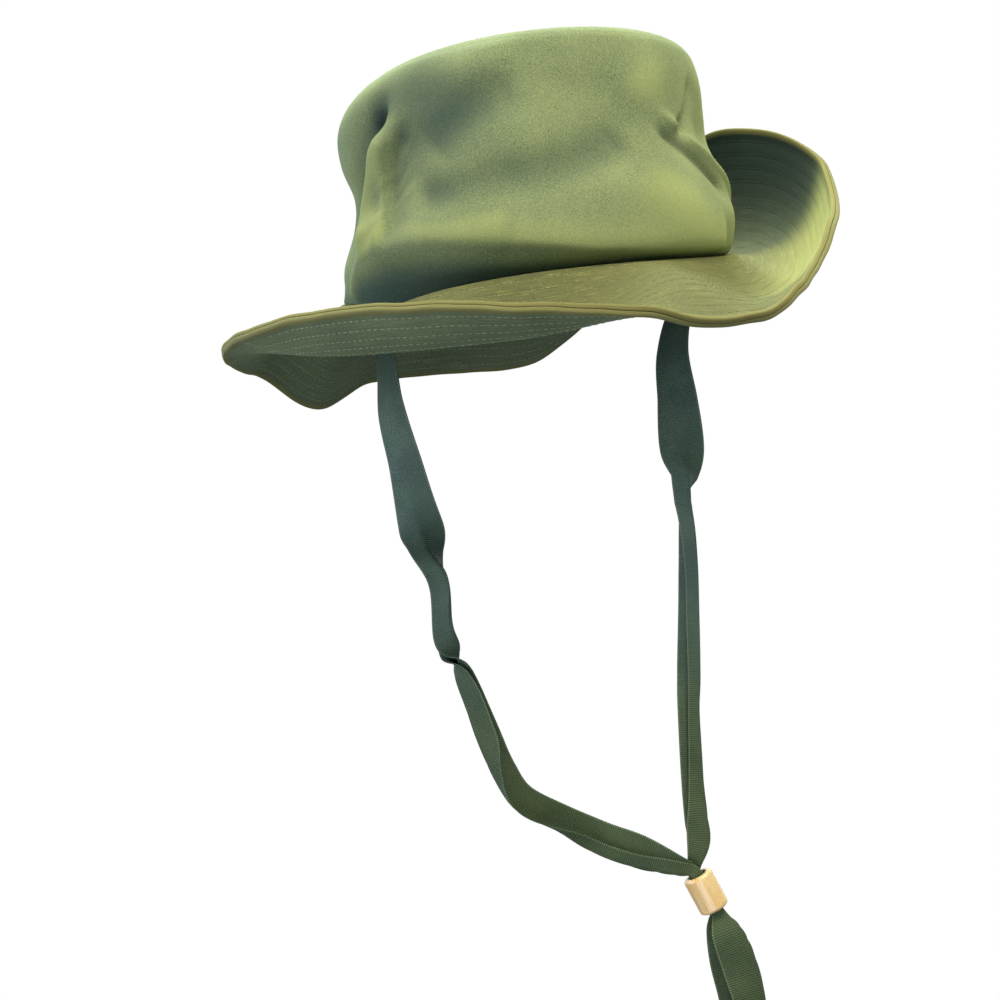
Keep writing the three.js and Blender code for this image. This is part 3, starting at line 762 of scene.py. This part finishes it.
# %% The ribbon's rows
# x, y, z, face, tip, first leaf, second leaf, crease, squeeze; millimetres and degrees
RIBBON_ROWS = [
    (-90.6, -8, -1, 88, 0, 0, 0, 0, 1),
    (-90.0, -9, -14, 92, 0, 0, 0, 0, 1),
    (-77.1, -12, -37, 112, 0, 0, 0, 0, 1),
    (-72.6, -19, -67, 126, 0, 0, 4, 0, 1),
    (-65.7, -26, -93, 137, 0, -4, 6, 0, 1),
    (-59.0, -33, -119, 160, 0, -8, 12, -1, 1),
    (-53.6, -38, -135, 222, 0, -28, 18, -2, 1),
    (-48.6, -43, -154, 292, 0, -140, 0, -1, 1),
    (-45.6, -49, -176, 324, 0, -160, 4, 0, 1),
    (-36.1, -53, -193, 496, 0, -165, 2, 0, 0.9),
    (-25.1, -59, -219, 538, 0, -163, -6, 1, 1),
    (-17.2, -63, -236, 544, 0, -154, -58, 2, 1),
    (-8.0, -66, -248.6, 544, 0, -150, -84, 2.5, 1),
    (9.3, -68, -257.2, 540, 0, -146, -70, 2.5, 1),
    (26.6, -70, -265.2, 538, 0, -166, -14, 4.2, 1),
    (44.2, -73, -270.9, 538, 0, -168, -8, 4, 1),
    (59.5, -76.5, -275.6, 540, 0, -166, 0, 2, 0.75),
    (68.8, -77.0, -279.2, 540, 0, -168, 0, 0, 0.5),
    (73.8, -77.0, -288.4, 540, 0, -60, 60, 0, 0.5),
    (78.6, -77.0, -297.2, 540, 0, 0, 160, 1, 0.5),
    (82.2, -79.5, -306, 546, 0, 0, 152, 3, 1),
    (87.5, -81, -320, 550, 0, 0, 142, 5.5, 1),
    (91.2, -81.5, -336, 560, 0, 0, 95, 5, 1),
    (92.0, -81, -354, 552, 0, 0, 30, 3, 1),
    (91.5, -80.5, -368, 540, 8, 0, 0, 0, 1),
    (91.3, -78.8, -375, 540, 45, 0, 0, 0, 1),
    (91.0, -75.5, -378, 540, 90, 0, 0, 0, 1),
    (90.6, -72.2, -375, 540, 135, 0, 0, 0, 1),
    (90.0, -70.5, -368, 540, 172, 0, 0, 0, 1),
    (88.6, -70, -354, 540, 180, 0, -40, 0, 1),
    (85.5, -70, -336, 534, 180, 0, -110, 0, 1),
    (81.6, -70.5, -320, 530, 180, 0, -140, 0, 1),
    (79.2, -71.8, -306, 534, 180, 0, -160, 0, 0.9),
    (78.6, -73.0, -297.2, 540, 180, 0, -168, 0, 0.5),
    (73.8, -73.0, -288.4, 540, 180, 0, -168, 0, 0.5),
    (68.9, -73.0, -279.2, 540, 180, 0, -168, 0, 0.5),
    (70.8, -71.0, -265, 540, 180, 6, -160, 0, 1),
    (69.3, -66, -244.5, 550, 180, 0, -164, -1.5, 0.86),
    (68.2, -58, -211, 564, 180, 0, -166, -2.5, 0.8),
    (68.7, -54, -193, 548, 180, 4, -160, -3, 0.82),
    (69.3, -48, -166.5, 524, 180, 0, -164, -3, 0.82),
    (69.8, -41, -141, 520, 180, -4, -156, -3, 0.84),
    (69.4, -33, -110, 516, 180, 0, -128, -2, 0.95),
    (68.6, -26, -87, 522, 180, 0, -30, -1, 1),
    (66.8, -20, -63, 504, 180, 0, -4, 0, 1),
    (65.0, -14, -38, 488, 180, 0, 0, 0, 1),
    (71.0, -11, -14, 474, 180, 0, 0, 0, 1),
    (88.0, -9, 6, 456, 180, 0, 0, 0, 1),
    (91.0, -8, 20, 452, 180, 0, 0, 0, 1),
]
RIBBON_WIDTH = 22
RIBBON_THICK = 0.5
RIBBON_COLUMNS = 18
RIB_PITCH = 1.0
RIB_RISE = 0.05
CREASE_HALF = 1.3
SECTION_STEPS = 88
LINE_STEPS = 6000
FLAT_SQUEEZE = 1.2
print("the ribbon passes", len(RIBBON_ROWS), "places")

# %% [markdown]
# Sweeping the ribbon
# The folded section is found by walking across the ribbon in small steps, each in the direction
# that its leaf points. Then the section is set in the middle of its row.

# %% Make the ribbon
def ribbon_line():
    """The middle line, its length, and the rows' values, every half rib."""
    table = np.array(RIBBON_ROWS, float)
    rows = np.arange(len(table), dtype=float)
    fine = np.linspace(0, len(table) - 1, LINE_STEPS)
    line = np.stack([smooth(rows, table[:, k], fine) for k in range(3)], 1)
    length = np.concatenate([[0], np.cumsum(np.linalg.norm(np.diff(line, axis=0), axis=1))])
    count = int(length[-1] / RIB_PITCH) * 2
    even = np.interp(np.linspace(0, length[-1], count + 1), length, fine)
    return np.stack([smooth(rows, table[:, k], even) for k in range(9)], 1), length[-1]


def swept(flat, values):
    """Places of the flat ribbon's points: x across, y along, both as parts of 1."""
    at = np.rint((flat[:, 1] + 0.5) * (len(values) - 1)).astype(int)
    middle = values[:, :3]
    ahead = np.gradient(middle, axis=0)
    ahead /= np.linalg.norm(ahead, axis=1)[:, None]
    face, tip = np.radians(values[:, 3]), np.radians(values[:, 4])
    normal = np.stack([np.sin(face) * np.cos(tip), -np.cos(face) * np.cos(tip), np.sin(tip)], 1)
    across = np.cross(ahead, normal)
    across /= np.linalg.norm(across, axis=1)[:, None]
    through = np.cross(across, ahead)
    steps = np.linspace(-RIBBON_WIDTH / 2, RIBBON_WIDTH / 2, SECTION_STEPS + 1)
    mid = (steps[:-1] + steps[1:]) / 2
    part = np.clip((mid[None, :] - values[:, 7:8]) / CREASE_HALF, -1, 1)
    part = 0.5 + 0.75 * part - 0.25 * part ** 3
    angle = np.radians(values[:, 5:6] * (1 - part) + values[:, 6:7] * part)
    size = RIBBON_WIDTH / SECTION_STEPS
    zero = np.zeros((len(values), 1))
    side = np.concatenate([zero, np.cumsum(np.cos(angle) * size, 1)], 1)
    front = np.concatenate([zero, np.cumsum(np.sin(angle) * size, 1)], 1)
    side -= (side.max(1) + side.min(1))[:, None] / 2
    front -= (front.max(1) + front.min(1))[:, None] / 2
    side *= values[:, 8:9]
    front *= values[:, 8:9] ** FLAT_SQUEEZE
    front += RIB_RISE * (np.arange(len(values)) % 2)[:, None]
    column = np.rint((flat[:, 0] + 0.5) * RIBBON_COLUMNS) * SECTION_STEPS / RIBBON_COLUMNS
    low = np.minimum(column.astype(int), SECTION_STEPS - 1)
    rest = column - low
    a = side[at, low] * (1 - rest) + side[at, low + 1] * rest
    b = front[at, low] * (1 - rest) + front[at, low + 1] * rest
    return middle[at] + across[at] * a[:, None] + through[at] * b[:, None]


ribbon_values, ribbon_length = ribbon_line()
chin_strap = flat_cloth(RIBBON_COLUMNS, len(ribbon_values) - 1)
bend(chin_strap, lambda flat: swept(flat, ribbon_values) * MM)
thicken(chin_strap, RIBBON_THICK * MM)
finish_piece(chin_strap, "chin_strap_ribbon", ["chin_strap"])
print("the ribbon is", round(ribbon_length), "mm long")

# %% [markdown]
# The bead
# The bead is turned from pale wood, so it is made as on a lathe: the cut through its wall, with
# well rounded outer rims and a small round at the bore, is spun a full turn.

# %% Make the bead
BEAD_LENGTH = 17.5
BEAD_RADIUS = 7
BEAD_BORE = 4.5
BEAD_ROUND = 1.6
BORE_ROUND = 0.5
BEAD_PLACE = (73.8, -75, -288.4)
BEAD_LEAN = 28.6
BEAD_SIDES = 72
BORE_STOP = 2
SIDE_STOP = 2.4

half = BEAD_LENGTH / 2
outer, inner = BEAD_RADIUS - BEAD_ROUND, BEAD_BORE + BORE_ROUND
bead_outline = rounded_corner(outer, half - BEAD_ROUND, BEAD_ROUND, 0, 9)
bead_outline += rounded_corner(inner, half - BORE_ROUND, BORE_ROUND, 90, 5)
bead_outline += [(BEAD_BORE, z) for z in np.linspace(half - BORE_STOP, BORE_STOP - half, 9)]
bead_outline += rounded_corner(inner, BORE_ROUND - half, BORE_ROUND, 180, 5)
bead_outline += rounded_corner(outer, BEAD_ROUND - half, BEAD_ROUND, 270, 9)
bead_outline += [(BEAD_RADIUS, z) for z in np.linspace(SIDE_STOP - half, half - SIDE_STOP, 13)]
bead = spin_round(bead_outline, BEAD_SIDES)


def bead_place(flat):
    """Leans the bead along the strap and sets it in its place."""
    lean = math.radians(BEAD_LEAN)
    x = flat[:, 0] * math.cos(lean) - flat[:, 2] * math.sin(lean)
    z = flat[:, 0] * math.sin(lean) + flat[:, 2] * math.cos(lean)
    return np.stack([x, flat[:, 1], z], 1) + np.array(BEAD_PLACE) * MM


bend(bead, bead_place)
finish_piece(bead, "strap_bead_wood", ["strap_bead"])

# %% [markdown]
# Building materials from nodes
# Every material is a small net of nodes. A few helpers keep the nets short to write. Most add one
# node, set its values, join it to what it reads, and give back its output.

# %% Helpers for node nets
def new_material(name):
    """A material, its net of nodes, and the shader in it."""
    material = bpy.data.materials.new(name)
    material.use_nodes = True
    return material, material.node_tree, material.node_tree.nodes["Principled BSDF"]


def node(tree, kind, inputs=None, **settings):
    """A node whose inputs are joined to outputs or set to values."""
    made = tree.nodes.new(kind)
    for key, value in settings.items():
        setattr(made, key, value)
    for key, value in (inputs or {}).items():
        if isinstance(value, bpy.types.NodeSocket):
            tree.links.new(value, made.inputs[key])
        else:
            made.inputs[key].default_value = value
    return made


def on_hat(tree):
    """The place on the hat, in metres."""
    return node(tree, "ShaderNodeTexCoord").outputs["Object"]


def on_pattern(tree):
    """The place on the flat pattern, which bend() kept."""
    return node(tree, "ShaderNodeAttribute", attribute_name="cut").outputs["Vector"]


def apart(tree, vector):
    """The three parts of a vector."""
    return node(tree, "ShaderNodeSeparateXYZ", {"Vector": vector}).outputs


def noise(tree, where, scale, detail=3.0, roughness=0.55, squash=None):
    """A cloudy pattern; squash makes it finer or longer along each axis."""
    if squash:
        where = node(tree, "ShaderNodeMapping", {"Vector": where, "Scale": squash}).outputs[0]
    made = node(tree, "ShaderNodeTexNoise", {"Vector": where, "Scale": scale, "Detail": detail,
                                             "Roughness": roughness})
    return made.outputs["Fac"]


def sums(tree, operation, *values):
    """One step of arithmetic."""
    return node(tree, "ShaderNodeMath", dict(enumerate(values)), operation=operation).outputs[0]


def remap(tree, value, low, high, out_low=0.0, out_high=1.0, kind="SMOOTHSTEP"):
    """Values from low to high become values from out_low to out_high."""
    return node(tree, "ShaderNodeMapRange", {"Value": value, "From Min": low, "From Max": high,
                "To Min": out_low, "To Max": out_high}, interpolation_type=kind).outputs["Result"]


def mix(tree, amount, first, second):
    """A colour between two: the first where the amount is 0, the second where it is 1."""
    inputs = {0: amount, 6: first, 7: second}
    return node(tree, "ShaderNodeMix", inputs, data_type="RGBA").outputs[2]


def bump(tree, height, strength, distance, under=None):
    """A relief too fine for the mesh, over another one if that is given."""
    inputs = {"Height": height, "Strength": strength, "Distance": distance}
    if under:
        inputs["Normal"] = under
    return node(tree, "ShaderNodeBump", inputs).outputs["Normal"]


def colour(red, green, blue):
    """A screen colour from 0 to 255 as the light values that a shader takes."""
    parts = [v / 255 for v in (red, green, blue)]
    return [v / 12.92 if v < 0.04045 else ((v + 0.055) / 1.055) ** 2.4 for v in parts] + [1]


# %% [markdown]
# Velvet
# Velvet is a pile of short threads. It shows as a fine grain, as soft patches where the pile lies
# another way, and as a glow where the surface turns away from the eye. The glow is the shader's
# sheen. The painted shade that the side wall kept draws the colour towards a blue tone of painted
# shade in the folds and under the tuck, and towards a yellow tone of painted highlight on the
# ridges. The yellow tone also colours pale flecks in the pile.

# %% Make the crown's velvet
VELVET_SHEEN = 0.3


def velvet(name, deep, bright, shade_and_streak_tone, highlight_and_fleck_tone):
    """Cloth with a fine pile in two tones, plus a painted shade tone and a painted highlight tone.
    """
    material, tree, shader = new_material(name)
    where = on_hat(tree)
    patches = noise(tree, where, 24, 3.0, 0.5)
    pile = noise(tree, where, 1500, 2.0, 0.65)
    flecks = noise(tree, where, 900, 2.0, 0.7)
    patches, grain = sums(tree, "MULTIPLY", patches, 0.3), sums(tree, "MULTIPLY", pile, 0.7)
    tone = sums(tree, "ADD", patches, grain)
    base = mix(tree, remap(tree, tone, 0.33, 0.67, kind="LINEAR"), deep, bright)
    # Painted shade in the folds and under the tuck; painted highlight on the ridges.
    painted_shade_and_highlight = node(tree, "ShaderNodeAttribute", attribute_name="painted_shade_and_highlight").outputs["Fac"]
    base = mix(tree, remap(tree, painted_shade_and_highlight, 0.5, 9.5, 0, 0.85), base, shade_and_streak_tone)
    base = mix(tree, remap(tree, painted_shade_and_highlight, -0.5, -5.0, 0, 0.45), base, highlight_and_fleck_tone)
    base = mix(tree, remap(tree, flecks, 0.66, 0.76, 0, 0.5), base, highlight_and_fleck_tone)
    tree.links.new(base, shader.inputs["Base Color"])
    shader.inputs["Roughness"].default_value = 0.95
    shader.inputs["Specular IOR Level"].default_value = 0.08
    shader.inputs["Sheen Weight"].default_value = VELVET_SHEEN
    shader.inputs["Sheen Roughness"].default_value = 0.5
    shader.inputs["Sheen Tint"].default_value = highlight_and_fleck_tone
    tree.links.new(bump(tree, pile, 0.35, 0.0003), shader.inputs["Normal"])
    return material, tree, shader


# Its colours: deep, bright, painted shade, and painted highlight with flecks.
crown_velvet = velvet("crown_velvet", colour(92, 106, 80), colour(142, 152, 106),
                      colour(38, 62, 66), colour(172, 180, 110))[0]
for piece in (crown_side, crown_tip):
    piece.data.materials.append(crown_velvet)
print(crown_velvet.name, "has", len(crown_velvet.node_tree.nodes), "nodes")

# %% [markdown]
# The brim's velvet
# The brim's velvet is a shade more yellow than the crown's, with fine streaks along the rows of
# thread and a browner turned edge. Where the brim turns up at the right, light and shade are
# painted into its colour: a pale stretch of painted highlight, and further back a dark stretch of
# painted shade. Both begin and end softly.

# %% Make the brim's velvets
# painted highlight (1) or painted shade (0), where it begins, where it ends, its share at the
# crown and at the edge
BRIM_PAINTED_LIGHT_AND_SHADE = [
    (1, (60, 86), (106, 97), (0, 0.65)),
    (0, (93, 102), (178, 156), (0.55, 0.92)),
]
# The radii over which the painted highlight and shade go from their share at the crown to their
# share at the edge.
PAINTED_LIGHT_RADII = (0.11, 0.165)
LIP_RADII = (0.1764, 0.1782)
LIP_BROWN = colour(122, 117, 70)


def ring_place(tree):
    """The radius and the turn of a point on the flat brim; a turn of 0 is the front."""
    parts = apart(tree, on_pattern(tree))
    flat = node(tree, "ShaderNodeCombineXYZ", {"X": parts[0], "Y": parts[1]}).outputs[0]
    radius = node(tree, "ShaderNodeVectorMath", {0: flat}, operation="LENGTH").outputs["Value"]
    turn = sums(tree, "ARCTAN2", parts[0], sums(tree, "MULTIPLY", parts[1], -1))
    return radius, turn


def paint_light_and_shade(tree, base, radius, turn, highlight_and_fleck_tone, shade_and_streak_tone):
    """Painted highlight and painted shade where the brim turns up at the right."""
    for pale, rise, fall, share in BRIM_PAINTED_LIGHT_AND_SHADE:
        begun, not_over = [remap(tree, turn, *map(math.radians, ends)) for ends in (rise, fall)]
        stretch = sums(tree, "MULTIPLY", begun, not_over)
        amount = sums(tree, "MULTIPLY", stretch, remap(tree, radius, *PAINTED_LIGHT_RADII, *share))
        base = mix(tree, amount, base, highlight_and_fleck_tone if pale else shade_and_streak_tone)
    return base


def brim_cloth(name, deep, bright, shade_and_streak_tone, highlight_and_fleck_tone):
    """The same cloth with streaks, the painted highlight and shade, and the turned edge."""
    material, tree, shader = velvet(name, deep, bright, shade_and_streak_tone, highlight_and_fleck_tone)
    base = shader.inputs["Base Color"].links[0].from_socket
    radius, turn = ring_place(tree)
    ring = node(tree, "ShaderNodeCombineXYZ", {"X": radius, "Y": turn}).outputs[0]
    streaks = noise(tree, ring, 1, 3.0, 0.6, squash=(900, 9, 1))
    base = mix(tree, remap(tree, streaks, 0.35, 0.6, 0.25, 0, "LINEAR"), base, shade_and_streak_tone)
    base = mix(tree, remap(tree, streaks, 0.58, 0.72, 0, 0.3), base, highlight_and_fleck_tone)
    base = paint_light_and_shade(tree, base, radius, turn, highlight_and_fleck_tone, shade_and_streak_tone)
    base = mix(tree, remap(tree, radius, *LIP_RADII, 0, 0.85), base, LIP_BROWN)
    tree.links.new(base, shader.inputs["Base Color"])
    return material


# Colours: deep, bright, painted shade and darker streaks, painted highlight and flecks.
brim_velvet = brim_cloth("brim_velvet", colour(84, 87, 54), colour(118, 119, 77),
                         colour(32, 50, 54), colour(190, 192, 116))
under_velvet = brim_cloth("brim_under_velvet", colour(88, 100, 76), colour(124, 134, 100),
                          colour(62, 76, 62), colour(150, 162, 122))
for piece, material in ((brim_top, brim_velvet), (brim_under, under_velvet)):
    piece.data.materials.append(material)
    print(material.name, "has", len(material.node_tree.nodes), "nodes")

# %% [markdown]
# The thread
# The thread is dull and twisted. It is paler than the cloth at the front, it takes its paler tone
# in the stretch of painted highlight, and it takes painted shade with the cloth in the dark
# stretch.

# %% Make the threads
def thread_material(name, deep, bright, shade_and_streak_tone):
    """Twisted thread in two tones, with a third for the painted shade in the dark stretch."""
    material, tree, shader = new_material(name)
    twist = noise(tree, on_hat(tree), 2500, 1.0)
    base = mix(tree, remap(tree, twist, 0.4, 0.6), deep, bright)
    base = paint_light_and_shade(tree, base, *ring_place(tree), bright, shade_and_streak_tone)
    tree.links.new(base, shader.inputs["Base Color"])
    shader.inputs["Roughness"].default_value = 0.9
    shader.inputs["Specular IOR Level"].default_value = 0.1
    tree.links.new(bump(tree, twist, 0.4, 0.0001), shader.inputs["Normal"])
    return material


# Colours: deep, bright, and the painted shade of the dark stretch.
top_thread = thread_material("brim_top_thread", colour(128, 132, 84), colour(158, 162, 108),
                             colour(40, 60, 60))
under_thread = thread_material("brim_under_thread", colour(124, 136, 106), colour(162, 174, 138),
                               colour(62, 76, 62))
for piece, material in ((thread_top, top_thread), (thread_under, under_thread)):
    piece.data.materials.append(material)
    print(material.name, "is on", piece.name)

# %% [markdown]
# The ribbon's weave
# The ribbon is ribbed across, one rib a millimetre, with a pale woven edge. The pattern follows
# the flat ribbon. Near the brim the ribbon is a bluer green with shallow ribs, and lower down it
# is more olive, with darker grooves.

# %% Make the ribbon's material
UPPER_GREENS = (colour(72, 94, 82), colour(84, 106, 90))
LOWER_GREENS = (colour(72, 88, 58), colour(86, 102, 66))
GREENS_CHANGE = (-0.14, -0.26)


def ribbon_material():
    """Ribs, a fine weave and a pale edge, all drawn on the flat ribbon."""
    material, tree, shader = new_material("grosgrain")
    cut = on_pattern(tree)
    across, along = apart(tree, cut)[:2]
    phase = sums(tree, "MULTIPLY", along, 2 * math.pi * ribbon_length / RIB_PITCH)
    rib = remap(tree, sums(tree, "SINE", phase), -1, 1, kind="LINEAR")
    weave = noise(tree, cut, 1, 2.0, 0.5, squash=(60, ribbon_length / 0.5, 1))
    where = on_hat(tree)
    fade = remap(tree, noise(tree, where, 45, 3.0), 0.35, 0.65)
    low = remap(tree, apart(tree, where)[2], *GREENS_CHANGE)
    base = mix(tree, low, mix(tree, fade, *UPPER_GREENS), mix(tree, fade, *LOWER_GREENS))
    groove = mix(tree, remap(tree, low, 0, 1, 0.32, 0.58, "LINEAR"), base, colour(20, 32, 22))
    base = mix(tree, sums(tree, "MULTIPLY", rib, 0.75), groove, base)
    base = mix(tree, remap(tree, weave, 0.55, 0.75, 0, 0.1), base, colour(104, 124, 88))
    edge = sums(tree, "ABSOLUTE", across)
    inside, outside = remap(tree, edge, 0.462, 0.474), remap(tree, edge, 0.5, 0.492)
    selvedge = sums(tree, "MULTIPLY", inside, outside)
    pale = sums(tree, "MULTIPLY", selvedge, remap(tree, rib, 0.3, 0.8, 0.1, 0.6))
    base = mix(tree, pale, base, colour(128, 144, 106))
    tree.links.new(base, shader.inputs["Base Color"])
    shader.inputs["Roughness"].default_value = 0.72
    shader.inputs["Specular IOR Level"].default_value = 0.3
    shader.inputs["Sheen Weight"].default_value = 0.25
    shader.inputs["Sheen Roughness"].default_value = 0.4
    shader.inputs["Sheen Tint"].default_value = colour(150, 170, 140)
    ribs = bump(tree, rib, 0.7, 0.0002)
    tree.links.new(bump(tree, weave, 0.15, 0.0001, ribs), shader.inputs["Normal"])
    return material


grosgrain = ribbon_material()
chin_strap.data.materials.append(grosgrain)
print(grosgrain.name, "has", round(ribbon_length / RIB_PITCH), "ribs")

# %% [markdown]
# The bead's wood
# The wood has broad bands, fine lines and small pores, all drawn out along the bead's own axis,
# under a clear varnish.

# %% Make the wood
def wood_material():
    """Varnished wood whose grain runs along the bead."""
    material, tree, shader = new_material("varnished_wood")
    cut = on_pattern(tree)
    lines = noise(tree, cut, 1, 5.0, 0.6, squash=(900, 900, 55))
    bands = noise(tree, cut, 1, 2.0, 0.5, squash=(210, 210, 24))
    pores = noise(tree, cut, 1, 2.0, 0.6, squash=(3600, 3600, 260))
    base = mix(tree, remap(tree, bands, 0.35, 0.65), colour(228, 188, 124), colour(248, 218, 158))
    base = mix(tree, remap(tree, lines, 0.52, 0.68, 0, 0.6), base, colour(196, 148, 86))
    base = mix(tree, remap(tree, pores, 0.64, 0.74, 0, 0.5), base, colour(160, 112, 62))
    tree.links.new(base, shader.inputs["Base Color"])
    shader.inputs["Roughness"].default_value = 0.38
    shader.inputs["Coat Weight"].default_value = 0.7
    shader.inputs["Coat Roughness"].default_value = 0.12
    tree.links.new(bump(tree, lines, 0.12, 0.0002), shader.inputs["Normal"])
    return material


varnished_wood = wood_material()
bead.data.materials.append(varnished_wood)
print(varnished_wood.name, "is on", bead.name)

# %% [markdown]
# Light
# The strongest lamp stands behind and above the hat, and a warmer one above its front, so the
# folds have a pale side and a shaded one. Four weak lamps soften the left, the right and the
# underside. All of them are large round discs, which throw no hard shadow.

# %% Place the lamps
# name, place, width, power, tone; metres and watts
LAMPS = [
    ("back_key", (0.0, 0.5, 1.05), 0.7, 29, (0.76, 0.87, 1.0)),
    ("top_key", (0.15, -0.5, 1.0), 0.6, 16, (1.0, 0.94, 0.76)),
    ("right_key", (0.7, -0.6, 0.7), 0.7, 6, (1.0, 0.94, 0.76)),
    ("left_fill", (-1.15, -0.35, 0.1), 0.7, 11, (0.85, 0.86, 1.0)),
    ("back_left", (-0.9, 0.7, 0.5), 0.7, 6, (0.3, 0.55, 1.0)),
    ("low_fill", (0.0, -0.9, -0.6), 0.7, 5, (0.86, 0.9, 0.96)),
]

for name, place, width, power, tone in LAMPS:
    bpy.ops.object.select_all(action="DESELECT")
    bpy.ops.object.light_add(type="AREA", location=place)
    lamp = bpy.context.object
    lamp.name = name
    lamp.rotation_euler = (-Vector(place)).to_track_quat("-Z", "Y").to_euler()
    lamp.data.shape = "DISK"
    lamp.data.size = width
    lamp.data.energy = power
    lamp.data.color = tone

# %% [markdown]
# The room
# The hat stands before a white wall that glows behind it, so its edges catch light. The rest of
# the room is dim and a little blue, and darkest below, which keeps the brim's underside dark.

# %% Make the room
world = bpy.data.worlds.new("white_room")
world.use_nodes = True
bpy.context.scene.world = world
room = world.node_tree
direction = node(room, "ShaderNodeTexCoord").outputs["Generated"]
backwards, upwards = apart(room, direction)[1:]
back_wall = remap(room, backwards, 0.3, 0.85, 0.14, 1.0)
from_below = remap(room, upwards, -0.5, -0.32, 0.25, 1.0)
glow = sums(room, "MULTIPLY", back_wall, from_below)
room.links.new(glow, room.nodes["Background"].inputs["Strength"])
air = mix(room, remap(room, backwards, 0.4, 0.85), (0.5, 0.75, 1.0, 1), (1, 1, 1, 1))
room.links.new(air, room.nodes["Background"].inputs["Color"])
bpy.context.scene.view_settings.view_transform = "Standard"
print("the room's glow comes from", world.name)
